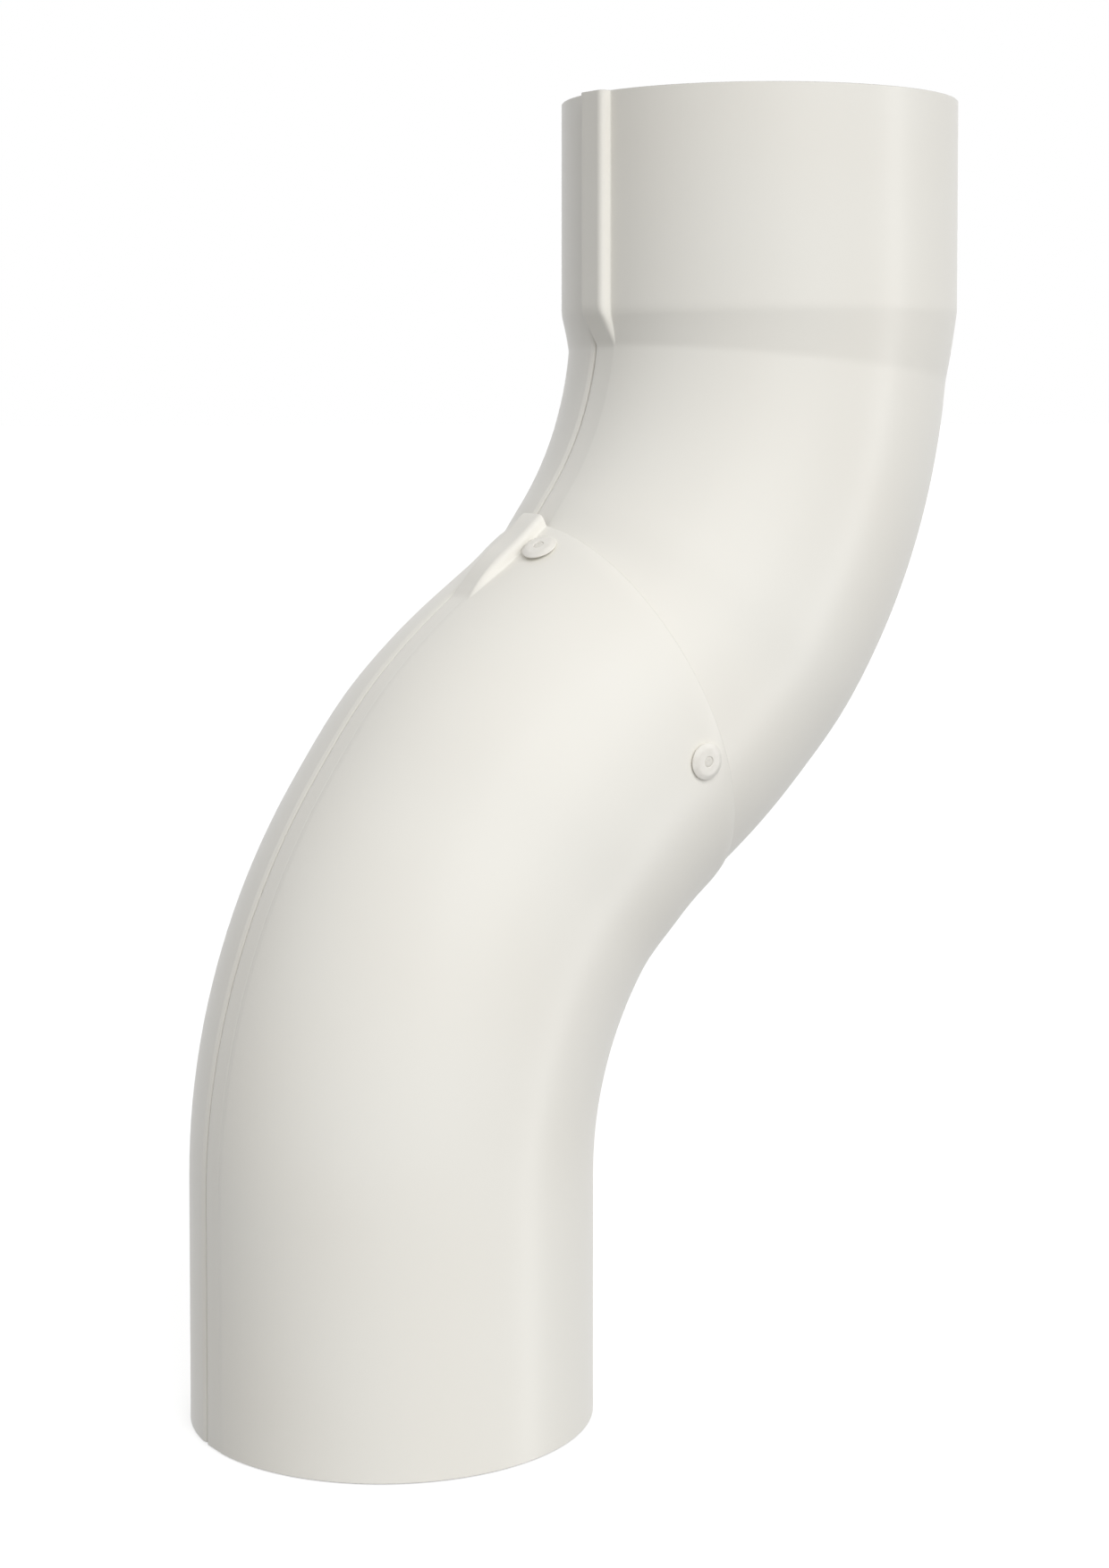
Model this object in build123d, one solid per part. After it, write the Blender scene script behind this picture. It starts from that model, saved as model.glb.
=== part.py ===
from build123d import *
import os
from math import atan2, cos, degrees, pi, radians, sin, tan

# Pipe sizes, in millimetres, to the outer face
tube_radius = 43.5            # the 87 mm tube of the lower bend, left plain as its spigot
mouth_radius = 44.35          # its upper end, opened to take the other bend
neck_radius = 43.9            # tube of the upper bend
socket_radius = 45.9          # top socket
sheet = 0.7                   # coated steel sheet
lap_clearance = 0.35          # between the tail and the mouth round it

# Course of the centre line, which lies in the XZ plane
spigot_length = 51.9
bend_radius = 111.3
bend_angle = 54.0
middle_length = 9.6           # straight run between the two bends
cone_length = 8.6             # widening from the neck to the socket
cone_overrun = 1.2            # the part of that cone that lies above the bend
socket_length = 48.4

# Lock seam: widths run round the pipe, depths go inward from the outer face
seam_half_width = 2.8
seam_gap = 0.15               # between the pressed layers
groove_width = 1.25           # shoulder of the sheet that dives under the other
groove_depth = 0.65
groove_wall = 0.15            # slant of the groove's steep side
dive_corner = 0.3
fold_corner = 0.4
fold_inset = 0.4              # the inner hook stops this short of the outer riser
riser_width = 1.9             # side wall where the seam is pushed outward
foot_step = 0.6               # width in which that wall runs out on the plain bend
seam_rise_length = 8.0        # stretch in which the lower bend's seam is pushed out
seam_rise_margin = 0.8        # from the end of that stretch to the tail

# Oblique mouth of the lower bend, and the lap of the tail inside it
mouth_lean = 12.9             # degrees between its normal and the centre line
mouth_offset = 11.1           # along the centre line from the end of the lower arc
lap_length = 14.5
swage_length = 8.0            # in which a tube is opened or drawn in
swage_margin = 2.0            # from the lap to either swage

# Blind rivets
rivet_count = 4
rivet_first = 12.0            # degrees round the centre line from the seam
rivet_step = 82.0
rivet_inset = 6.0             # from the mouth's edge
rivet_diameter = 4.0
hole_clearance = 0.1          # on the diameter
head_diameter = 8.0
crown_diameter = 4.8          # flat middle of the head
head_edge = 0.8
head_dome = 0.35
head_seat = 0.15              # the flat head rides this far off the curved sheet
bulb_diameter = 6.2
bulb_length = 4.6
bulb_seat = 0.15
mandrel_diameter = 2.2
mandrel_fit = 0.04            # on the diameter
mandrel_recess = 0.4          # broken end of the mandrel, below the crown
mandrel_head_diameter = 3.6
mandrel_head_length = 2.2

# Spare length that the courses have before their oblique ends are cut
trim_margin = 8.0
placing_error = 0.0001        # within which a rivet's place is found

# Derived sizes
tail_radius = mouth_radius - sheet - lap_clearance
layer = sheet + seam_gap
dive = 3 * layer
foot = seam_half_width + riser_width
hook_end = seam_half_width - fold_inset
shoulder = seam_half_width + seam_gap

# Stations along the centre line, measured from the bottom rim
arc_length = bend_radius * radians(bend_angle)
lower_arc_end = spigot_length + arc_length
upper_arc_start = lower_arc_end + middle_length
upper_arc_end = upper_arc_start + arc_length
cone_end = upper_arc_end + cone_overrun
cone_start = cone_end - cone_length
top_end = cone_end + socket_length

# The oblique mouth runs ahead of its middle on the seam side, and behind it opposite.
# Both its foremost edge and the rearmost edge of the tail lie on an arc's inner side.
lean = radians(mouth_lean)
mouth_reach = mouth_radius * tan(lean)
tail_offset = mouth_offset - lap_length / cos(lean)
inner_radius = bend_radius - mouth_radius
front_turn = atan2(mouth_offset + mouth_reach - middle_length, inner_radius)
back_turn = atan2(mouth_reach - tail_offset, inner_radius)
mouth_front = upper_arc_start + bend_radius * front_turn
tail_back = lower_arc_end - bend_radius * back_turn

rise_end = lower_arc_end + tail_offset + mouth_reach - seam_rise_margin
rise_start = rise_end - seam_rise_length
mouth_swage_end = tail_back - swage_margin
mouth_swage_start = mouth_swage_end - swage_length
neck_swage_start = mouth_front + swage_margin
neck_swage_end = neck_swage_start + swage_length
lap_reach = mouth_front + trim_margin
tail_reach = tail_back - trim_margin

# Centres of the two arcs
lower_centre = Vector(bend_radius, 0, spigot_length)
slant = Vector(sin(radians(bend_angle)), 0, cos(radians(bend_angle)))
slant_seam_side = Vector(-slant.Z, 0, slant.X)
lower_arc_top = lower_centre + slant_seam_side * bend_radius
upper_centre = lower_arc_top + slant * middle_length + slant_seam_side * bend_radius


def course_plane(station):
    """Plane square to the centre line; its x axis points at the seam."""
    turn = min(max(station - spigot_length, 0.0) / bend_radius, radians(bend_angle))
    if station > upper_arc_start:
        turn = max(turn - (station - upper_arc_start) / bend_radius, 0.0)
    along = Vector(sin(turn), 0, cos(turn))
    seam_side = Vector(-cos(turn), 0, sin(turn))
    if station <= lower_arc_end:
        foot_drop = Vector(0, 0, min(station - spigot_length, 0.0))
        point = lower_centre + seam_side * bend_radius + foot_drop
    elif station <= upper_arc_start:
        point = lower_arc_top + along * (station - lower_arc_end)
    else:
        climb = Vector(0, 0, max(station - upper_arc_end, 0.0))
        point = upper_centre - seam_side * bend_radius + climb
    return Plane(origin=point, x_dir=seam_side, z_dir=along)


def sheet_section(station, radius, lift):
    """Cut through the sheet: an open ring whose two edges hook into each other.

    The sheet that comes from the back dives under and hooks up. The sheet from
    the front lies over it and hooks down, so its fold edges the outer groove.
    The lift pushes the seam outward, up to the depth of its hidden layers.
    """
    pushed = lift / dive
    sunk = 1 - pushed
    back = pi * radius
    edge = seam_half_width
    step = foot - foot_step + (foot_step - riser_width) * pushed
    mitre = sheet / 2 * pushed
    shoulder_start = -shoulder - groove_width
    shoulder_inside = shoulder_start - groove_wall
    hook_inside = 2 * layer
    hook_bottom = hook_inside + sheet
    inner_gap = 2 * layer - seam_gap
    bottom = dive + sheet

    def at(along, depth):
        turn = along / radius
        reach = radius - depth
        return (reach * cos(turn), reach * sin(turn))

    outline = []

    def straight(*stops):
        for first, last in zip(stops, stops[1:]):
            outline.append(Line(at(*first), at(*last)))

    def round_run(first, last, depth):
        middle = (first + last) / 2
        outline.append(ThreePointArc(at(first, depth), at(middle, depth), at(last, depth)))

    # Front sheet, outer face, from its fold over the seam and round to the back
    round_run(-edge + fold_corner, step, -lift)
    straight((step, -lift), (foot, 0))
    round_run(foot, back, 0)

    # Back sheet, outer face, down the groove and under the front sheet
    round_run(back, 2 * back + shoulder_start, 0)
    straight(
        (shoulder_start, 0),
        (-shoulder - groove_wall, groove_depth * sunk),
        (-shoulder, (dive - dive_corner) * sunk),
        (-shoulder + dive_corner, dive * sunk),
        (hook_end - sheet, dive - lift),
    )

    # Its hook, turned up and back over the front sheet's edge
    straight(
        (hook_end - sheet, dive - lift),
        (hook_end - sheet, inner_gap - lift),
        (-edge + layer, inner_gap - lift),
        (-edge + layer, layer - lift),
        (hook_end - fold_corner, layer - lift),
        (hook_end, layer + fold_corner - lift),
        (hook_end, bottom - fold_corner - lift),
        (hook_end - fold_corner, bottom - lift),
    )

    # Back sheet, inner face
    straight(
        (hook_end - fold_corner, bottom - lift),
        (-shoulder - dive_corner, bottom - lift),
        (-shoulder - sheet, sheet + (dive - 2 * dive_corner) * sunk),
        (-shoulder - sheet - groove_wall, sheet + groove_depth / 2 * sunk),
        (shoulder_inside, sheet),
    )
    round_run(2 * back + shoulder_inside, back, sheet)

    # Front sheet, inner face, and its hook turned down round the back sheet's edge
    round_run(back, foot - mitre, sheet)
    straight(
        (foot - mitre, sheet),
        (step - mitre, sheet - lift),
        (-edge + sheet, sheet - lift),
        (-edge + sheet, hook_inside - lift),
        (hook_end - layer, hook_inside - lift),
        (hook_end - layer, hook_bottom - lift),
        (-edge + fold_corner, hook_bottom - lift),
        (-edge, hook_bottom - fold_corner - lift),
        (-edge, fold_corner - lift),
        (-edge + fold_corner, -lift),
    )
    return course_plane(station) * make_face(outline)


def even_run(start, end, radius, lift):
    """Even stretch within one arc or one straight of the course."""
    section = sheet_section(start, radius, lift)
    turn = degrees((end - start) / bend_radius)
    if spigot_length <= start < lower_arc_end:
        return revolve(section, Axis(lower_centre, (0, 1, 0)), turn)
    if upper_arc_start <= start < upper_arc_end:
        return revolve(section, Axis(upper_centre, (0, -1, 0)), turn)
    return extrude(section, amount=end - start, dir=course_plane(start).z_dir)


def even_runs(start, end, radius, lift):
    """Even stretch from one station to another, whatever it bends through."""
    bounds = (spigot_length, lower_arc_end, upper_arc_start, upper_arc_end)
    stops = [start, *(station for station in bounds if start < station < end), end]
    return [even_run(*span, radius, lift) for span in zip(stops, stops[1:])]


def changing_run(start, end, radii, lifts):
    """Short stretch in which the pipe widens or its seam rises."""
    sections = [sheet_section(*cut) for cut in zip((start, end), radii, lifts)]
    return loft(sections, ruled=True)


def mouth_plane(inset):
    """The oblique mouth, or a plane parallel to it further down the lap."""
    middle = lower_arc_top + slant * mouth_offset
    normal = slant * cos(lean) - slant_seam_side * sin(lean)
    return Plane(origin=middle - normal * inset, z_dir=normal)


def joined(stretches):
    whole = stretches[0]
    for stretch in stretches[1:]:
        whole = whole + stretch
    return whole


# Lower bend: spigot, arc, opened mouth, and its seam pushed outward before the tail
lower_stretches = [
    *even_runs(0.0, mouth_swage_start, tube_radius, 0.0),
    changing_run(mouth_swage_start, mouth_swage_end, (tube_radius, mouth_radius), (0.0, 0.0)),
    *even_runs(mouth_swage_end, rise_start, mouth_radius, 0.0),
    changing_run(rise_start, rise_end, (mouth_radius, mouth_radius), (0.0, dive)),
    *even_runs(rise_end, lap_reach, mouth_radius, dive),
]
lower_bend = split(joined(lower_stretches), bisect_by=mouth_plane(0.0), keep=Keep.BOTTOM)

# Upper bend: tail, arc, cone and top socket, with its seam pushed outward in the socket
upper_stretches = [
    *even_runs(tail_reach, neck_swage_start, tail_radius, 0.0),
    changing_run(neck_swage_start, neck_swage_end, (tail_radius, neck_radius), (0.0, 0.0)),
    *even_runs(neck_swage_end, cone_start, neck_radius, 0.0),
    changing_run(cone_start, cone_end, (neck_radius, socket_radius), (0.0, dive)),
    *even_runs(cone_end, top_end, socket_radius, dive),
]
upper_bend = split(joined(upper_stretches), bisect_by=mouth_plane(lap_length), keep=Keep.TOP)


def rivet_plane(turn):
    """Where a rivet stands on the mouth, its z axis pointing straight out of the sheet."""
    mouth = mouth_plane(rivet_inset)
    low = tail_reach
    high = lap_reach
    while high - low > placing_error:
        station = (low + high) / 2
        course = course_plane(station)
        outward = course.x_dir * cos(turn) + course.y_dir * sin(turn)
        point = course.origin + outward * mouth_radius
        if (point - mouth.origin).dot(mouth.z_dir) > 0:
            high = station
        else:
            low = station
    return Plane(origin=point, x_dir=course.z_dir, z_dir=outward)


def turned(outline):
    """Body turned about the rivet's own axis from half of its outline."""
    return revolve(Plane.XZ * make_face(Polyline(*outline, close=True)), Axis.Z)


# Heights on a rivet, from the outer face of the mouth
grip = mouth_radius - tail_radius + sheet
head_rim = head_seat + head_edge
crown = head_rim + head_dome
blind_face = -grip - bulb_seat
blind_end = blind_face - bulb_length

bore_radius = (mandrel_diameter + mandrel_fit) / 2
stem_radius = mandrel_diameter / 2
rivet_body = turned([
    (bore_radius, crown),
    (crown_diameter / 2, crown),
    (head_diameter / 2, head_rim),
    (head_diameter / 2, head_seat),
    (rivet_diameter / 2, head_seat),
    (rivet_diameter / 2, blind_face),
    (bulb_diameter / 2, blind_face),
    (bulb_diameter / 2, blind_end),
    (bore_radius, blind_end),
])
mandrel_body = turned([
    (0, crown - mandrel_recess),
    (stem_radius, crown - mandrel_recess),
    (stem_radius, blind_end),
    (mandrel_head_diameter / 2, blind_end),
    (mandrel_head_diameter / 2, blind_end - mandrel_head_length),
    (0, blind_end - mandrel_head_length),
])

rivets = {}
hole_radius = (rivet_diameter + hole_clearance) / 2
for number in range(rivet_count):
    place = rivet_plane(radians(rivet_first + rivet_step * number))
    drill = place * Cylinder(hole_radius, 2 * grip + bulb_length)
    lower_bend = lower_bend - drill
    upper_bend = upper_bend - drill
    rivets[f"rivet_{number + 1}"] = place * rivet_body
    rivets[f"rivet_mandrel_{number + 1}"] = place * mandrel_body

pieces = {"lower_bend": lower_bend, "upper_bend": upper_bend, **rivets}
os.makedirs("parts", exist_ok=True)
for name, piece in pieces.items():
    export_step(piece, f"parts/{name}.step")
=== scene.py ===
from math import atan2, cos, pi, radians, sin, tan
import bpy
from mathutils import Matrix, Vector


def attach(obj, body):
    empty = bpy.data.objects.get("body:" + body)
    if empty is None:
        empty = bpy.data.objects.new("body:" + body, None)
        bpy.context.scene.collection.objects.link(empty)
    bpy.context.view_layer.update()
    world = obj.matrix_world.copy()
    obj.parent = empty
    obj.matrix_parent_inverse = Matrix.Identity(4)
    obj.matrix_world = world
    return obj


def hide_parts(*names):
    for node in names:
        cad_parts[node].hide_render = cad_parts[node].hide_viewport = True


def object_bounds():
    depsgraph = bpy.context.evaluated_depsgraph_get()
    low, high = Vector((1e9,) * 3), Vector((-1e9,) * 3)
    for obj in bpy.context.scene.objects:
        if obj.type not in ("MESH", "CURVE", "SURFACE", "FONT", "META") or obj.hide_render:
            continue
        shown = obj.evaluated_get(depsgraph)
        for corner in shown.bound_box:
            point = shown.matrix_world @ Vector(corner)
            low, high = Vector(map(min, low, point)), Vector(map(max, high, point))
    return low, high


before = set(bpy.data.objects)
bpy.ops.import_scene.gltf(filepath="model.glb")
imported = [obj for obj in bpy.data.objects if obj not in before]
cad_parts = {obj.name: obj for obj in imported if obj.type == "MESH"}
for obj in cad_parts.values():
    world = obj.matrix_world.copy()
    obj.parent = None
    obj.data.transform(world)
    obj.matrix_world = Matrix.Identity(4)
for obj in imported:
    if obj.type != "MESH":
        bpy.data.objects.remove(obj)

from types import SimpleNamespace

import bpy
import numpy as np
from mathutils import Vector

cad_low, cad_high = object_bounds()


# Lower bend. A strip of coil-coated steel, rolled into an 87 mm tube and closed by a lock
# seam, then bent over a mandrel. Its upper end is swaged open and cut off at a slant, and
# before that end the seam is pushed outward, so that the other bend's tail slides in.
mm = 0.001
sheet = 0.7
tube_radius = 43.5
mouth_radius = 44.35
spigot_length = 51.9
bend_radius = 111.3
bend_turn = radians(54.0)
middle_length = 9.6           # straight stretch between the two bends

arc_length = bend_radius * bend_turn
lower_arc_end = spigot_length + arc_length
upper_arc_start = lower_arc_end + middle_length
upper_arc_end = upper_arc_start + arc_length

lower_centre = np.array([bend_radius, 0.0, spigot_length])
slant = np.array([sin(bend_turn), 0.0, cos(bend_turn)])
slant_seam_side = np.array([-slant[2], 0.0, slant[0]])
lower_arc_top = lower_centre + slant_seam_side * bend_radius
upper_centre = lower_arc_top + slant * middle_length + slant_seam_side * bend_radius
toward_front = np.array([0.0, -1.0, 0.0])


def course(station):
    """Centre line at each station: its points, and the directions along it and to the seam."""
    station = np.asarray(station, float)
    rising = np.clip(station - spigot_length, 0.0, arc_length)
    falling = np.clip(station - upper_arc_start, 0.0, arc_length)
    turn = (rising - falling) / bend_radius
    along = np.stack([np.sin(turn), 0 * turn, np.cos(turn)], -1)
    seam_side = np.stack([-np.cos(turn), 0 * turn, np.sin(turn)], -1)
    up = np.array([0.0, 0.0, 1.0])
    lower = lower_centre + seam_side * bend_radius
    lower = lower + up * np.minimum(station - spigot_length, 0.0)[..., None]
    middle = lower_arc_top + slant * (station - lower_arc_end)[..., None]
    upper = upper_centre - seam_side * bend_radius
    upper = upper + up * np.maximum(station - upper_arc_end, 0.0)[..., None]
    point = np.where((station <= lower_arc_end)[..., None], lower, middle)
    point = np.where((station > upper_arc_start)[..., None], upper, point)
    return point, along, seam_side


def placed(station, radius, turn, depth):
    """Points of the sheet: turn goes round the pipe from the seam, depth inward in mm."""
    point, _, seam_side = course(station)
    turn = turn[..., None]
    reach = (radius - depth)[..., None]
    return point + reach * (np.cos(turn) * seam_side + np.sin(turn) * toward_front)


def soft_ramp(share, softness):
    """Rises from 0 to 1 as the share does, with both of its corners rounded off."""
    def area_under(x):
        x = np.maximum(x, 0.0)
        return np.where(x < 1.0, x * x / 2, x - 0.5)
    return (area_under(share + softness) - area_under(share - softness)) / (2 * softness)


# The lock seam, across the sheet: the front sheet lies over the back one, and each is
# folded under the other. Pushed outward, it stands on the pipe as a soft-edged rib.
seam_half_width = 2.8
seam_gap = 0.15
groove_width = 1.3            # the back sheet's dip beside the fold
groove_depth = 0.25
groove_gap = 0.8              # open between the fold and the dip, so that its dark line shows
witness_width = 0.8           # of the faint line over the hidden fold's edge
fold_inset = 0.4
foot = 4.7                    # where the seam's flat top ends and the pipe goes on
riser_tip = 0.5               # width of the rib's side where it starts to rise
riser_top = 0.4               # and where it stands at its full height
least_sunk = 0.02             # what is left of the dips where the rib stands at full height
layer = sheet + seam_gap
dive = 3 * layer
hook_end = seam_half_width - fold_inset
shoulder = seam_half_width + groove_gap

corner_steps = 6
shortest_round = 0.1
fitting_share = 0.98          # of a short straight, which the arcs on its ends may take up
round_steps = 150
fold_radius = 0.42            # of the sheet's middle in its tight folds
crown_radius = 2.2            # along the rib's crown
foot_radius = 1.0             # where the rib meets the pipe
groove_radius = 0.3
dip_radius = 0.08


def rounded(corners, radii, splits):
    """A line through corners, each rounded by an arc, with its straights cut into splits.

    Two arcs that don't fit on a short straight shrink together.
    """
    corners = np.array(corners, float)
    steps = np.diff(corners, axis=0)
    lengths = np.linalg.norm(steps, axis=1)
    ways = steps / lengths[:, None]
    backs = np.zeros(len(corners))
    for i, radius in enumerate(radii):
        into, out = ways[i], ways[i + 1]
        bend = atan2(into[0] * out[1] - into[1] * out[0], into @ out)
        backs[i + 1] = max(radius * abs(tan(bend / 2)), shortest_round)
    fits = fitting_share * lengths / (backs[:-1] + backs[1:])
    backs[1:-1] *= np.minimum(np.minimum(fits[:-1], fits[1:]), 1.0)
    points = []
    start = corners[0]
    for i in range(1, len(corners) - 1):
        first = corners[i] - ways[i - 1] * backs[i]
        last = corners[i] + ways[i] * backs[i]
        for k in range(splits[i - 1]):
            points.append(start + (first - start) * k / splits[i - 1])
        for k in range(corner_steps):
            t = k / corner_steps
            points.append((1 - t) ** 2 * first + 2 * t * (1 - t) * corners[i] + t * t * last)
        start = last
    for k in range(splits[-1] + 1):
        points.append(start + (corners[-1] - start) * k / splits[-1])
    return np.array(points)


def sheet_line(form, radius, lift):
    """Middle of the sheet from one hidden edge, right round the pipe, to the other."""
    pushed = lift / dive
    sunk = max(1 - pushed, least_sunk)
    half = sheet / 2
    round_trip = 2 * pi * radius
    spread = form.rise_spread * 4 * pushed * (1 - pushed)
    riser = riser_tip + (riser_top - riser_tip) * pushed + spread
    step = foot - riser
    left = -seam_half_width + half
    corners = [
        (hook_end - layer, 2 * layer + half - lift),
        (left, 2 * layer + half - lift),
        (left, half - lift),
        (seam_half_width - witness_width / 2, half - lift),
        (seam_half_width, half - lift + form.witness_depth * sunk),
        (seam_half_width + witness_width / 2, half - lift),
        (step, half - lift),
        (foot, half),
        (round_trip - shoulder - groove_width, half),
        (round_trip - shoulder - half, half + groove_depth * sunk),
        (round_trip - shoulder - half, half + dive - lift),
        (round_trip + hook_end - half, half + dive - lift),
        (round_trip + hook_end - half, half + layer - lift),
        (round_trip - seam_half_width + layer, half + layer - lift),
    ]
    radii = [fold_radius, fold_radius, crown_radius, crown_radius, crown_radius,
             crown_radius, foot_radius, groove_radius, dip_radius, groove_radius,
             fold_radius, fold_radius]
    splits = [2, 1, 4, 1, 1, 1, 2, round_steps, 2, 2, 3, 1, 2]
    line = rounded(corners, radii, splits)
    # Pressed flat over the seam, between the fold and the rib's crown
    middle = (left + step) / 2
    width = (step - left) / 2
    for turns in (0.0, round_trip):
        off = line[:, 0] - turns - middle
        line[:, 1] += np.maximum(width * width - off * off, 0.0) / (2 * radius)
    return line


def sheet_outline(form, radius, lift, inset):
    """Outline of the sheet as turns and depths, thinner by the inset on either face."""
    line = sheet_line(form, radius, lift)
    ways = np.gradient(line, axis=0)
    ways /= np.linalg.norm(ways, axis=1)[:, None]
    outward = np.stack([ways[:, 1], -ways[:, 0]], 1) * (sheet / 2 - inset)
    outline = np.concatenate([line + outward, (line - outward)[::-1]])
    return outline[:, 0] / radius, outline[:, 1]


outside_slot = 0
inside_slot = 1
edge_slot = 2
sheet_crease = radians(32)    # folds sharper than this stay sharp in the shading


def new_piece(name, points, faces, crease):
    """Puts a smoothly shaded mesh into the scene, with edges that fold past the crease sharp."""
    mesh = bpy.data.meshes.new(name)
    mesh.from_pydata(points, [], faces)
    mesh.polygons.foreach_set("use_smooth", np.ones(len(faces), bool))
    mesh.set_sharp_from_angle(angle=crease)
    mesh.update()
    piece = bpy.data.objects.new(name, mesh)
    bpy.context.scene.collection.objects.link(piece)
    return piece


def pipe_mesh(name, rows):
    """Closed sheet skin through its rows of points, with a cap on either end."""
    rings = np.array(rows) * mm
    count, size = rings.shape[:2]
    half = size // 2
    faces = []
    for i in range(count - 1):
        for j in range(size):
            k = (j + 1) % size
            faces.append((i * size + j, i * size + k, (i + 1) * size + k, (i + 1) * size + j))
    body_faces = len(faces)
    last = (count - 1) * size
    for j in range(half - 1):
        faces.append((j, size - 1 - j, size - 2 - j, j + 1))
        faces.append((last + j, last + j + 1, last + size - 2 - j, last + size - 1 - j))
    piece = new_piece(name, rings.reshape(-1, 3).tolist(), faces, sheet_crease)
    inner = [half <= j < size - 1 for j in range(size)]
    free_edge = [j in (half - 1, size - 1) for j in range(size)]
    around = np.where(free_edge, edge_slot, np.where(inner, inside_slot, outside_slot))
    slots = np.full(len(faces), edge_slot)
    slots[size:body_faces - size] = np.tile(around, count - 3)
    piece.data.polygons.foreach_set("material_index", slots.astype(np.int32))
    return piece


# Its mouth, whose plane leans away from square to the pipe
mouth_lean = radians(12.9)
mouth_offset = 11.1
lap_length = 14.5
mouth_normal = slant * cos(mouth_lean) - slant_seam_side * sin(mouth_lean)
mouth_point = lower_arc_top + slant * mouth_offset
mouth_reach = mouth_radius * tan(mouth_lean)
tail_offset = mouth_offset - lap_length / cos(mouth_lean)
back_turn = atan2(mouth_reach - tail_offset, bend_radius - mouth_radius)
front_turn = atan2(mouth_offset + mouth_reach - middle_length, bend_radius - mouth_radius)
tail_back = lower_arc_end - bend_radius * back_turn
mouth_front = upper_arc_start + bend_radius * front_turn

seam_rise_length = 12.0
seam_rise_lead = 8.8          # from the rise's start to the end of the other bend's tail
rise_start = lower_arc_end + tail_offset + mouth_reach - seam_rise_lead
swage_length = 8.0
swage_margin = 2.0
swage_softness = 0.9
mouth_swage_end = tail_back - swage_margin
mouth_swage_start = mouth_swage_end - swage_length
edge_rounding = 0.12
rim_share = 0.88              # of the way to a slanting end, where its rim starts to close in


def lower_radius(station):
    share = (station - mouth_swage_start) / swage_length
    return tube_radius + (mouth_radius - tube_radius) * soft_ramp(share, swage_softness)


def lower_lift(station):
    """Rises from a crease and eases out to the rib's full height."""
    share = min(max((station - rise_start) / seam_rise_length, 0.0), 1.0)
    return dive * (1 - (1 - share) ** 2)


lower_form = SimpleNamespace(
    radius_at=lower_radius,
    lift_at=lower_lift,
    end_radius=mouth_radius,
    square_end=128.0,         # station where the rows start to lean toward the mouth's plane
    rise_spread=0.8,          # how much wider the rib's side is half-way up the rise
    witness_depth=0.06,       # of the line that the hidden fold's edge presses into the front
    rim_draw=0.32,            # by which the rim is pressed down onto the tail
)
halvings = 34                 # enough to place a cut to far less than a micrometre


def station_at_cut(point, radius_at, turn, depth):
    """Stations at which lines run along the sheet meet a plane parallel to the mouth's."""
    low = np.full(len(turn), spigot_length)
    high = np.full(len(turn), upper_arc_end)
    for _ in range(halvings):
        station = (low + high) / 2
        where = placed(station, radius_at(station), turn, depth)
        past = (where - point) @ mouth_normal > 0
        high = np.where(past, station, high)
        low = np.where(past, low, station)
    return (low + high) / 2


def square_row(form, station, inset=0.0):
    """Row of the sheet's outline that is square to the pipe."""
    radius = float(form.radius_at(station))
    turn, depth = sheet_outline(form, radius, form.lift_at(station), inset)
    return placed(np.full(len(turn), station), radius, turn, depth)


def slanting_row(form, share, point, inset=0.0):
    """Row part of the way from a square cut to the slanting one, at which the share is 1."""
    seam_end = station_at_cut(point, form.radius_at, np.zeros(1), np.zeros(1))[0]
    lift = form.lift_at(form.square_end + (seam_end - form.square_end) * share)
    turn, depth = sheet_outline(form, form.end_radius, lift, inset)
    ends = station_at_cut(point, form.radius_at, turn, depth)
    stations = form.square_end + (ends - form.square_end) * share
    near_rim = max((share - rim_share) / (1 - rim_share), 0.0) ** 2
    return placed(stations, form.radius_at(stations) - form.rim_draw * near_rim, turn, depth)


spigot_rows = 9
arc_rows = 26
mouth_rows = 96
just_below = mouth_point - mouth_normal * edge_rounding
lower_stations = np.concatenate([
    np.linspace(edge_rounding, spigot_length, spigot_rows),
    np.linspace(spigot_length, lower_form.square_end, arc_rows)[1:],
])
lower_rows = [square_row(lower_form, 0.0, edge_rounding)]
for station in lower_stations:
    lower_rows.append(square_row(lower_form, station))
for share in np.linspace(0.0, 1.0, mouth_rows)[1:-1]:
    lower_rows.append(slanting_row(lower_form, share, mouth_point))
lower_rows.append(slanting_row(lower_form, 1.0, just_below))
lower_rows.append(slanting_row(lower_form, 1.0, mouth_point, edge_rounding))
lower_bend = pipe_mesh("lower_bend_sheet", lower_rows)


def linear(hex_code):
    """Linear colour of an sRGB hex value."""
    channels = [int(hex_code[i:i + 2], 16) / 255 for i in (1, 3, 5)]
    bent = [c / 12.92 if c <= 0.04045 else ((c + 0.055) / 1.055) ** 2.4 for c in channels]
    return (*bent, 1.0)


def node(owner, kind, settings=None, **links):
    """Adds a node to a material or the world, sets it, and links what the names say."""
    made = owner.node_tree.nodes.new(kind)
    for key, value in (settings or {}).items():
        if key in made.inputs:
            made.inputs[key].default_value = value
        else:
            setattr(made, key, value)
    for key, source in links.items():
        owner.node_tree.links.new(source, made.inputs[key.replace("_", " ")])
    return made


def new_finish(name):
    """A new material with its shader, and the place on the piece in metres."""
    material = bpy.data.materials.new(name)
    material.use_nodes = True
    shader = material.node_tree.nodes["Principled BSDF"]
    return material, shader, node(material, "ShaderNodeTexCoord").outputs["Object"]


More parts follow.
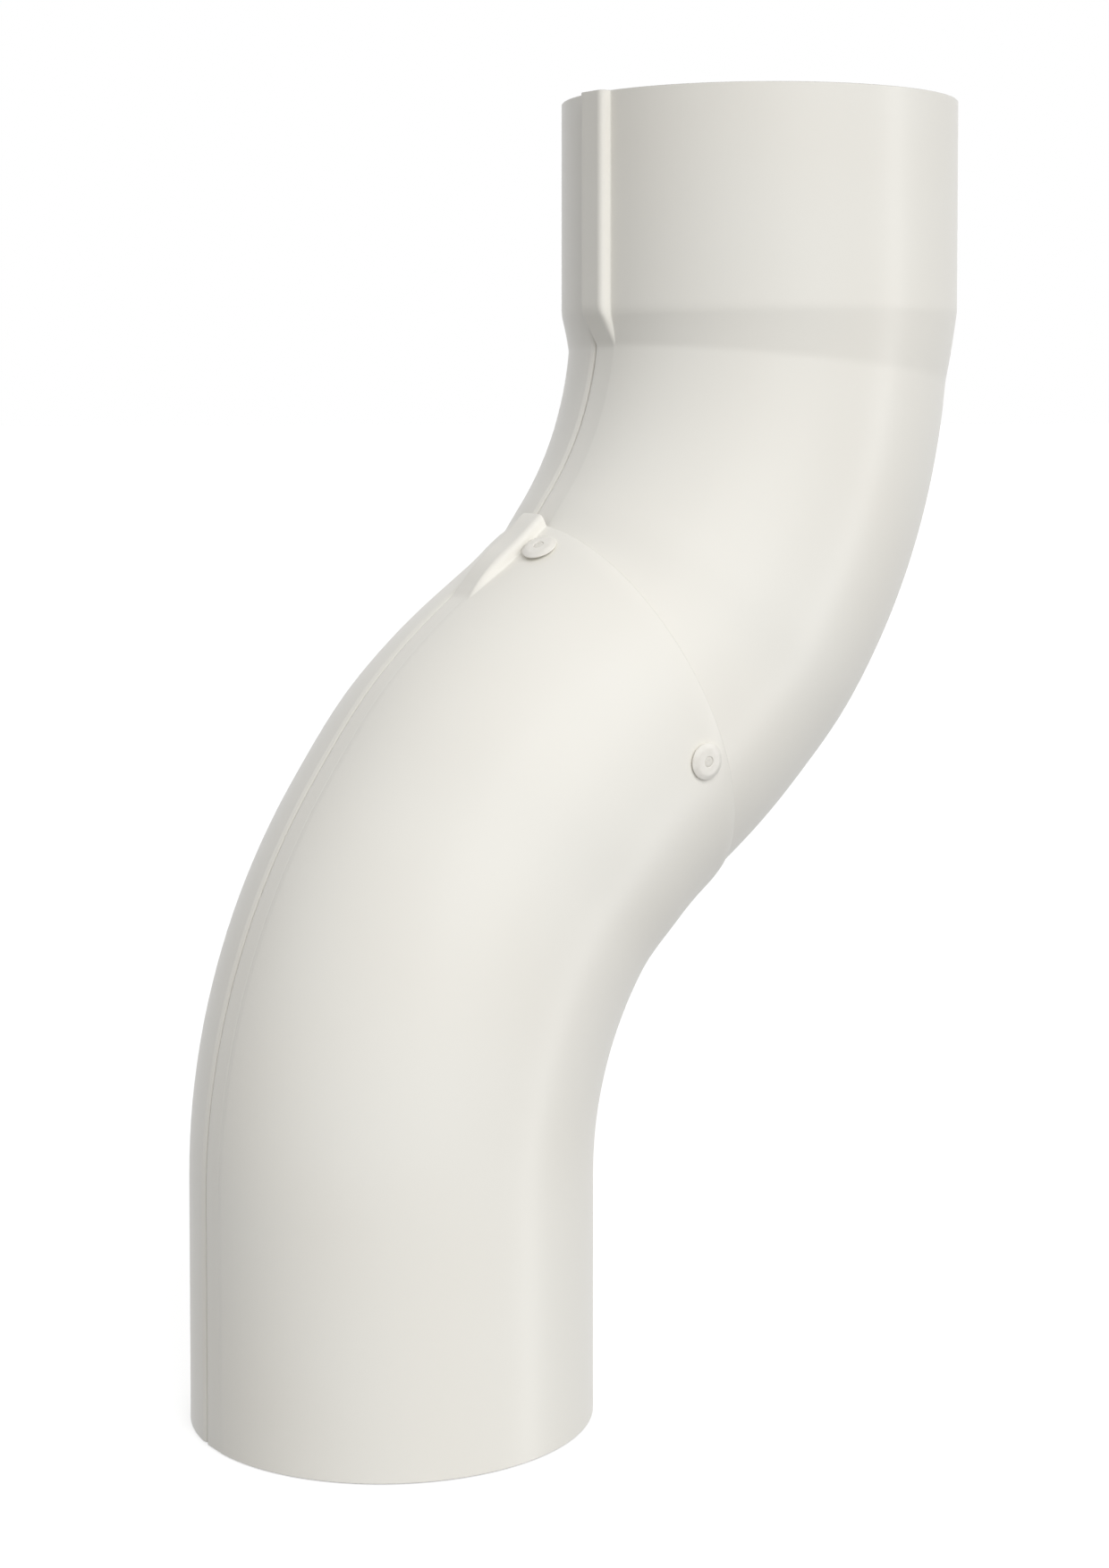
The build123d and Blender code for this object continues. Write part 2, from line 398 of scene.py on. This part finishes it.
# Coil-coated steel: polyester paint baked on the flat strip before it is rolled. It is
# satin, even in colour, with a very fine orange peel and the faintest waves of the sheet.
orange_peel_size = 0.9        # mm, drawn about twice as coarse as real so that it shows
orange_peel_height = 0.02
sheet_wave_size = 38.0        # mm, long soft waves left by bending
sheet_wave_height = 0.4
lacquer_ior = 1.48            # of polyester paints and stove lacquers


def coil_coated_steel():
    material, shader, place = new_finish("coil_coated_steel_satin_polyester")
    peel = node(material, "ShaderNodeTexNoise",
                {"Scale": 1 / (orange_peel_size * mm), "Detail": 2.0, "Roughness": 0.4},
                Vector=place).outputs["Fac"]
    wave = node(material, "ShaderNodeTexNoise",
                {"Scale": 1 / (sheet_wave_size * mm), "Detail": 1.0, "Roughness": 0.3},
                Vector=place).outputs["Fac"]
    tone = node(material, "ShaderNodeValToRGB", Fac=wave)
    tone.color_ramp.elements[0].position = 0.25
    tone.color_ramp.elements[0].color = linear("#EFECE4")
    tone.color_ramp.elements[1].position = 0.75
    tone.color_ramp.elements[1].color = linear("#F1EFE8")
    gloss = node(material, "ShaderNodeMapRange",
                 {"From Min": 0.3, "From Max": 0.7, "To Min": 0.30, "To Max": 0.36},
                 Value=peel).outputs["Result"]
    coarse = node(material, "ShaderNodeBump",
                  {"Strength": 0.10, "Distance": sheet_wave_height * mm},
                  Height=wave).outputs["Normal"]
    fine = node(material, "ShaderNodeBump",
                {"Strength": 0.06, "Distance": orange_peel_height * mm},
                Height=peel, Normal=coarse).outputs["Normal"]
    links = material.node_tree.links
    links.new(tone.outputs["Color"], shader.inputs["Base Color"])
    links.new(gloss, shader.inputs["Roughness"])
    links.new(fine, shader.inputs["Normal"])
    shader.inputs["IOR"].default_value = lacquer_ior
    shader.inputs["Specular IOR Level"].default_value = 0.4
    return material


# Backing lacquer: the thin grey coat that coil lines roll on the inner face. It is matter
# and darker than the paint, and a little uneven where it was laid on.
backing_mottle_size = 6.0     # mm, patches left by the roller
backing_mottle_height = 0.02


def backing_coat():
    material, shader, place = new_finish("backing_lacquer_inside")
    mottle = node(material, "ShaderNodeTexNoise",
                  {"Scale": 1 / (backing_mottle_size * mm), "Detail": 4.0, "Roughness": 0.55},
                  Vector=place).outputs["Fac"]
    tone = node(material, "ShaderNodeValToRGB", Fac=mottle)
    tone.color_ramp.elements[0].position = 0.3
    tone.color_ramp.elements[0].color = linear("#CCCBC4")
    tone.color_ramp.elements[1].position = 0.7
    tone.color_ramp.elements[1].color = linear("#D1D0C9")
    bump = node(material, "ShaderNodeBump",
                {"Strength": 0.1, "Distance": backing_mottle_height * mm},
                Height=mottle).outputs["Normal"]
    material.node_tree.links.new(tone.outputs["Color"], shader.inputs["Base Color"])
    material.node_tree.links.new(bump, shader.inputs["Normal"])
    shader.inputs["Roughness"].default_value = 0.55
    shader.inputs["IOR"].default_value = lacquer_ior
    return material


# Sheared edge: the shear drew some paint over the cut, with grey zinc and steel beneath.
# It shows as a thin line, greyer and duller than the faces, and finely streaked. Its tones
# are also darkened as painted shade, so that the rim facing up to the lamp stays faint.
shear_streak_size = 0.8       # mm, about as long as the sheet is thick


def cut_edge_with_painted_shade():
    material, shader, place = new_finish("sheared_edge_with_painted_shade")
    streaks = node(material, "ShaderNodeTexNoise",
                   {"Scale": 1 / (shear_streak_size * mm), "Detail": 3.0, "Roughness": 0.6},
                   Vector=place).outputs["Fac"]
    tone = node(material, "ShaderNodeValToRGB", Fac=streaks)
    # Both tones are darker than the edge's own grey: painted shade that keeps the upward-facing
    # rim from reading as a bright line.
    tone.color_ramp.elements[0].position = 0.35
    tone.color_ramp.elements[0].color = linear("#BFBDB6")
    tone.color_ramp.elements[1].position = 0.65
    tone.color_ramp.elements[1].color = linear("#D3D1CA")
    material.node_tree.links.new(tone.outputs["Color"], shader.inputs["Base Color"])
    shader.inputs["Roughness"].default_value = 0.5
    shader.inputs["IOR"].default_value = lacquer_ior
    return material


sheet_materials = [coil_coated_steel(), backing_coat(), cut_edge_with_painted_shade()]
for material in sheet_materials:
    lower_bend.data.materials.append(material)
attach(lower_bend, "root")
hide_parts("lower_bend")


# Upper bend. The same strip and seam, bent the other way. Its plain tail is drawn in to
# enter the mouth below, and its top is opened over a short cone into a socket, with the
# seam pushed outward there so that the next pipe drops in past it.
lap_clearance = 0.35
tail_radius = mouth_radius - sheet - lap_clearance
neck_radius = 43.9
neck_softness = 0.7
socket_radius = 45.9
socket_length = 48.4
cone_length = 12.5            # with its soft lower end, which runs out into the neck
cone_overrun = 1.2            # past the end of the bend
cone_softness = 0.08
rib_softness = 0.12           # of the seam's rise over the cone
cone_margin = 2.0             # beyond the cone on either side, where its softness ends
cone_end = upper_arc_end + cone_overrun
cone_start = cone_end - cone_length
top_end = cone_end + socket_length
neck_swage_start = mouth_front + swage_margin


def upper_radius(station):
    neck = soft_ramp((station - neck_swage_start) / swage_length, neck_softness)
    cone = soft_ramp((station - cone_start) / cone_length, cone_softness)
    necked = tail_radius + (neck_radius - tail_radius) * neck
    return necked + (socket_radius - neck_radius) * cone


def upper_lift(station):
    return dive * float(soft_ramp((station - cone_start) / cone_length, rib_softness))


upper_form = SimpleNamespace(
    radius_at=upper_radius,
    lift_at=upper_lift,
    end_radius=tail_radius,
    square_end=212.0,         # station where the rows stop leaning with the tail's cut
    rise_spread=0.0,
    witness_depth=0.0,        # the seam is on the inside of this bend, where no line shows
    rim_draw=0.0,
)
tail_rows = 34
neck_rows = 24
cone_rows = 34
socket_rows = 9
tail_point = mouth_point - mouth_normal * lap_length
just_inside = tail_point + mouth_normal * edge_rounding
upper_stations = np.concatenate([
    np.linspace(upper_form.square_end, cone_start - cone_margin, neck_rows),
    np.linspace(cone_start - cone_margin, cone_end + cone_margin, cone_rows)[1:],
    np.linspace(cone_end + cone_margin, top_end - edge_rounding, socket_rows)[1:],
])
upper_rows = [slanting_row(upper_form, 1.0, tail_point, edge_rounding)]
upper_rows.append(slanting_row(upper_form, 1.0, just_inside))
for share in np.linspace(1.0, 0.0, tail_rows)[1:-1]:
    upper_rows.append(slanting_row(upper_form, share, tail_point))
for station in upper_stations:
    upper_rows.append(square_row(upper_form, station))
upper_rows.append(square_row(upper_form, top_end, edge_rounding))
upper_bend = pipe_mesh("upper_bend_sheet", upper_rows)
for material in sheet_materials:
    upper_bend.data.materials.append(material)
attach(upper_bend, "root")
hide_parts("upper_bend")


# Blind rivets. Four aluminium rivets, lacquered in the pipe's colour, hold the lap. Each
# is set from outside: its wide, nearly flat head sits on the mouth, and pulling the
# mandrel swells the tail of its shank into a bulb inside the pipe.
rivet_count = 4
rivet_first = radians(12.0)   # round the pipe from the seam
rivet_step = radians(82.0)
rivet_inset = 6.0             # below the mouth's edge
rivet_lean = 0.5              # share of the way from square to the sheet to level with the mouth
rivet_radius = 2.0
head_radius = 4.0
head_edge = 0.8
head_dome = 0.35
head_seat = 0.15
bulb_radius = 3.1
bulb_length = 4.6
bulb_seat = 0.15
bore_radius = 1.12
grip = mouth_radius - tail_radius + sheet
head_rim = head_seat + head_edge
crown = head_rim + head_dome
blind_face = -grip - bulb_seat
blind_end = blind_face - bulb_length


def rivet_place(turn):
    """Point on the mouth's face, and the rivet's directions along, across and out."""
    line = mouth_point - mouth_normal * rivet_inset
    station = station_at_cut(line, lower_radius, np.array([turn]), np.zeros(1))[0]
    point, along, seam_side = course(station)
    square = cos(turn) * seam_side + sin(turn) * toward_front
    mouth_seam_side = slant_seam_side * cos(mouth_lean) + slant * sin(mouth_lean)
    level = cos(turn) * mouth_seam_side + sin(turn) * toward_front
    out = square + (level - square) * rivet_lean
    out /= np.linalg.norm(out)
    across = np.cross(out, along)
    across /= np.linalg.norm(across)
    return point + square * mouth_radius, np.cross(across, out), across, out


turn_steps = 72
axis_radius = 1e-6            # outline points nearer than this lie on the axis itself
rivet_crease = radians(40)


def turned_mesh(name, outline, place):
    """Mesh turned about a rivet's own axis from half of its outline, as (radius, height)."""
    point, along, across, out = place
    is_loop = np.allclose(outline[0], outline[-1])
    if is_loop:
        outline = outline[:-1]
    verts = []
    rings = []
    for radius, height in outline:
        on_axis = radius < axis_radius
        rings.append((len(verts), on_axis))
        for k in range(1 if on_axis else turn_steps):
            angle = 2 * pi * k / turn_steps
            round_way = np.cos(angle) * along + np.sin(angle) * across
            verts.append(tuple((point + round_way * radius + out * height) * mm))
    faces = []
    following = rings[1:] + rings[:1] if is_loop else rings[1:]
    for (a, a_axis), (b, b_axis) in zip(rings, following):
        for k in range(turn_steps):
            n = (k + 1) % turn_steps
            if a_axis:
                faces.append((a, b + k, b + n))
            elif b_axis:
                faces.append((a + n, a + k, b))
            else:
                faces.append((a + n, a + k, b + k, b + n))
    return new_piece(name, verts, faces, rivet_crease)


# Stove lacquer on aluminium: sprayed and baked on the finished rivet. It is about as
# glossy as the sheet and a trace darker, with soft dimples where it ran together.
lacquer_flow_size = 1.6       # mm, from one dimple to the next
lacquer_flow_height = 0.05


def rivet_lacquer():
    material, shader, place = new_finish("lacquered_aluminium_rivet")
    flow = node(material, "ShaderNodeTexNoise",
                {"Scale": 1 / (lacquer_flow_size * mm), "Detail": 2.0, "Roughness": 0.5},
                Vector=place).outputs["Fac"]
    tone = node(material, "ShaderNodeValToRGB", Fac=flow)
    tone.color_ramp.elements[0].position = 0.3
    tone.color_ramp.elements[0].color = linear("#EAE7DF")
    tone.color_ramp.elements[1].position = 0.7
    tone.color_ramp.elements[1].color = linear("#F0EDE6")
    bump = node(material, "ShaderNodeBump",
                {"Strength": 0.12, "Distance": lacquer_flow_height * mm},
                Height=flow).outputs["Normal"]
    material.node_tree.links.new(tone.outputs["Color"], shader.inputs["Base Color"])
    material.node_tree.links.new(bump, shader.inputs["Normal"])
    shader.inputs["Roughness"].default_value = 0.34
    shader.inputs["IOR"].default_value = lacquer_ior
    return material


head_flat = 2.9               # radius of the head's nearly flat top
head_undercut = 0.5
lip_drop = 0.02
dome_drop = 0.06              # of the flat top, from its middle to its edge
rim_drop = 0.25               # from the edge's height down to its widest line
rim_taper = 0.03
outline_start = 0.6           # above the blind end, on the bore's straight wall
lip_radius = 0.22             # lacquer has run into the bore's edge and softened it
shoulder_radius = 1.6
rim_radius = 0.5
edge_radius = 0.1
shank_foot_radius = 0.2
bulb_front_radius = 1.0
bulb_back_radius = 1.6
blind_lip_radius = 0.15
rivet_outline = rounded(
    [
        (bore_radius, blind_end + outline_start),
        (bore_radius, crown - lip_drop),
        (head_flat, crown - dome_drop),
        (head_radius, head_rim - rim_drop),
        (head_radius - rim_taper, head_rim - 2 * rim_drop),
        (head_radius - head_undercut, head_seat),
        (rivet_radius, head_seat),
        (rivet_radius, blind_face),
        (bulb_radius, blind_face),
        (bulb_radius, blind_end),
        (bore_radius, blind_end),
        (bore_radius, blind_end + outline_start),
    ],
    [lip_radius, shoulder_radius, rim_radius, edge_radius, edge_radius, edge_radius,
     shank_foot_radius, bulb_front_radius, bulb_back_radius, blind_lip_radius],
    [2, 1, 1, 1, 2, 1, 2, 1, 2, 2, 1],
)
rivet_places = [rivet_place(rivet_first + rivet_step * step) for step in range(rivet_count)]
lacquer = rivet_lacquer()
for number, place in enumerate(rivet_places, start=1):
    rivet = turned_mesh(f"rivet_body_{number}", rivet_outline, place)
    rivet.data.materials.append(lacquer)
    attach(rivet, "root")
    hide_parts(f"rivet_{number}")


# Rivet mandrels. The steel pin of each rivet snaps off in its bore when it is set. The
# broken end just below the crown took the lacquer, and the head stays bright zinc inside.
mandrel_radius = 1.1
mandrel_head_radius = 1.8
mandrel_head_length = 2.2
break_depth = 0.16            # of the broken end below the crown
break_rise = 0.08             # of its middle ring
break_ring = 0.55             # share of the pin's radius where that ring stands
break_radius = 0.4
head_front_radius = 0.3
head_back_radius = 0.9


# Blue-passivated zinc on steel: plated on the finished pin. It is bright, satin and cool
# in tone, with a faint fine mottle.
zinc_mottle_size = 0.5        # mm, drawn coarser than the real grain so that it shows


def zinc_plating():
    material, shader, place = new_finish("zinc_plated_mandrel")
    mottle = node(material, "ShaderNodeTexNoise",
                  {"Scale": 1 / (zinc_mottle_size * mm), "Detail": 4.0, "Roughness": 0.6},
                  Vector=place).outputs["Fac"]
    tone = node(material, "ShaderNodeValToRGB", Fac=mottle)
    tone.color_ramp.elements[0].position = 0.35
    tone.color_ramp.elements[0].color = linear("#A9ADB1")
    tone.color_ramp.elements[1].position = 0.65
    tone.color_ramp.elements[1].color = linear("#C4C7CA")
    gloss = node(material, "ShaderNodeMapRange", {"To Min": 0.28, "To Max": 0.42},
                 Value=mottle).outputs["Result"]
    material.node_tree.links.new(tone.outputs["Color"], shader.inputs["Base Color"])
    material.node_tree.links.new(gloss, shader.inputs["Roughness"])
    shader.inputs["Metallic"].default_value = 1.0
    return material


# Snapped steel under lacquer: the torn end of the pin, with stove lacquer run into it. It
# is a dull, grainy off-white, darker than the head around it.
break_grain_size = 0.35       # mm, as the torn steel's crumbs
break_grain_height = 0.1


def broken_end():
    material, shader, place = new_finish("lacquered_break_of_mandrel")
    grain = node(material, "ShaderNodeTexNoise",
                 {"Scale": 1 / (break_grain_size * mm), "Detail": 5.0, "Roughness": 0.7},
                 Vector=place).outputs["Fac"]
    tone = node(material, "ShaderNodeValToRGB", Fac=grain)
    tone.color_ramp.elements[0].position = 0.3
    tone.color_ramp.elements[0].color = linear("#DDDAD2")
    tone.color_ramp.elements[1].position = 0.7
    tone.color_ramp.elements[1].color = linear("#EBE8E0")
    bump = node(material, "ShaderNodeBump",
                {"Strength": 0.5, "Distance": break_grain_height * mm},
                Height=grain).outputs["Normal"]
    material.node_tree.links.new(tone.outputs["Color"], shader.inputs["Base Color"])
    material.node_tree.links.new(bump, shader.inputs["Normal"])
    shader.inputs["Roughness"].default_value = 0.5
    shader.inputs["IOR"].default_value = lacquer_ior
    return material


mandrel_outline = rounded(
    [
        (0.0, crown - break_depth),
        (break_ring * mandrel_radius, crown - break_depth + break_rise),
        (mandrel_radius, crown - break_depth),
        (mandrel_radius, blind_end),
        (mandrel_head_radius, blind_end),
        (mandrel_head_radius, blind_end - mandrel_head_length),
        (0.0, blind_end - mandrel_head_length),
    ],
    [break_radius, edge_radius, blind_lip_radius, head_front_radius, head_back_radius],
    [2, 1, 3, 1, 2, 2],
)
break_rings = 2 + 2 * corner_steps
zinc = zinc_plating()
snapped = broken_end()
for number, place in enumerate(rivet_places, start=1):
    mandrel = turned_mesh(f"mandrel_{number}", mandrel_outline, place)
    mandrel.data.materials.append(zinc)
    mandrel.data.materials.append(snapped)
    for face in mandrel.data.polygons[:break_rings * turn_steps]:
        face.material_index = 1
    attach(mandrel, "root")
    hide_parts(f"rivet_mandrel_{number}")


# Floor and backdrop. A plain white studio floor that runs on into a white backdrop. Its
# matt paint takes the object's shadow and throws a mild light on the object, and the
# camera sees it lit up to white. Reflections don't see it.
floor_size = 60.0
floor_gap = 0.0002
floor_level = 0.32            # what the object gets of the floor's light
floor_seen_level = 0.57
floor_seen_glow = 0.62
backdrop_level = 0.48
backdrop_seen_level = 1.0
floor_mesh = bpy.data.meshes.new("floor")
corners = [(x * floor_size, y * floor_size, 0) for x, y in ((-1, -1), (1, -1), (1, 1), (-1, 1))]
floor_mesh.from_pydata(corners, [], [(0, 1, 2, 3)])
floor = bpy.data.objects.new("floor", floor_mesh)
bpy.context.scene.collection.objects.link(floor)
floor.location.z = cad_low.z - floor_gap
floor.visible_glossy = False


def seen_directly(owner):
    """1 for rays from the camera, a reflection or a see-through piece, and 0 for the rest."""
    path = node(owner, "ShaderNodeLightPath")
    mirrored = node(owner, "ShaderNodeMath", {"operation": "MAXIMUM"})
    either = node(owner, "ShaderNodeMath", {"operation": "MAXIMUM"})
    links = owner.node_tree.links
    links.new(path.outputs["Is Camera Ray"], mirrored.inputs[0])
    links.new(path.outputs["Is Glossy Ray"], mirrored.inputs[1])
    links.new(mirrored.outputs[0], either.inputs[0])
    links.new(path.outputs["Is Transmission Ray"], either.inputs[1])
    return either.outputs[0]


floor_paint = bpy.data.materials.new("white_studio_floor")
floor_paint.use_nodes = True
floor_shader = floor_paint.node_tree.nodes["Principled BSDF"]
floor_shader.inputs["Roughness"].default_value = 0.9
floor_shader.inputs["Specular IOR Level"].default_value = 0.0
floor_shader.inputs["Emission Color"].default_value = linear("#FFFFFF")
seen = seen_directly(floor_paint)
pale = node(floor_paint, "ShaderNodeMapRange",
            {"To Min": floor_level, "To Max": floor_seen_level}, Value=seen)
glow = node(floor_paint, "ShaderNodeMapRange",
            {"To Min": 0.0, "To Max": floor_seen_glow}, Value=seen)
floor_links = floor_paint.node_tree.links
floor_links.new(pale.outputs["Result"], floor_shader.inputs["Base Color"])
floor_links.new(glow.outputs["Result"], floor_shader.inputs["Emission Strength"])
floor_mesh.materials.append(floor_paint)

world = bpy.data.worlds.new("white_backdrop")
bpy.context.scene.world = world
world.use_nodes = True
background = world.node_tree.nodes["Background"]
background.inputs["Color"].default_value = linear("#FFFFFF")
level = node(world, "ShaderNodeMapRange",
             {"To Min": backdrop_level, "To Max": backdrop_seen_level},
             Value=seen_directly(world))
world.node_tree.links.new(level.outputs["Result"], background.inputs["Strength"])


# Lamps. A broad soft lamp above and to the right of the camera, a weaker one behind the
# object, and a tall narrow one round to its right, which shows only as the soft bright
# band that runs down the paint.
view_yaw = radians(-33.82)


def toward(azimuth, elevation):
    """Direction at angles from the camera's, to its right and up."""
    turn = view_yaw + radians(azimuth)
    rise = radians(elevation)
    return Vector((sin(turn) * cos(rise), -cos(turn) * cos(rise), sin(rise)))


def broad_lamp(name, energy, spread, way):
    """A soft lamp far away on the given side, which isn't mirrored in the paint."""
    lamp_data = bpy.data.lights.new(name, "SUN")
    lamp_data.energy = energy
    lamp_data.angle = radians(spread)
    lamp = bpy.data.objects.new(name, lamp_data)
    lamp.rotation_euler = way.to_track_quat("Z", "Y").to_euler()
    lamp.visible_glossy = False
    bpy.context.scene.collection.objects.link(lamp)


broad_lamp("soft_lamp", energy=1.88, spread=50, way=toward(azimuth=25, elevation=28))
broad_lamp("back_lamp", energy=1.15, spread=60, way=toward(azimuth=172, elevation=20))

strip_width = 0.09
strip_top = 0.9
strip_bottom = -0.7
strip_distance = 0.6
strip_way = toward(azimuth=80, elevation=0)
middle = (cad_low + cad_high) / 2
strip_data = bpy.data.lights.new("strip_lamp", "AREA")
strip_data.shape = "RECTANGLE"
strip_data.size = strip_width
strip_data.size_y = strip_top - strip_bottom
strip_data.energy = 1.7
strip_data.use_shadow = False  # its lower end stands below the floor, which would cut it off
strip_lamp = bpy.data.objects.new("strip_lamp", strip_data)
strip_lamp.location = Vector((middle.x, middle.y, 0)) + strip_way * strip_distance
strip_lamp.location.z = (strip_top + strip_bottom) / 2
strip_lamp.rotation_euler = strip_way.to_track_quat("Z", "Y").to_euler()
strip_lamp.visible_diffuse = False
strip_lamp.visible_camera = False
bpy.context.scene.collection.objects.link(strip_lamp)


# Camera. It stands at the photograph's viewing angle, a little below the upper bend's
# socket, and looks slightly down. The frame is shifted down for the rest.
view_pitch = radians(2.59)
camera_data = bpy.data.cameras.new("camera")
camera_data.lens = 62.84
camera_data.sensor_width = 36.0
camera_data.shift_y = -0.155
camera = bpy.data.objects.new("camera", camera_data)
camera.location = (-0.2967, -0.5060, 0.2147)
camera.rotation_euler = (radians(90) - view_pitch, 0, view_yaw)
bpy.context.scene.collection.objects.link(camera)
bpy.context.scene.camera = camera

bpy.context.scene.view_settings.view_transform = "Standard"
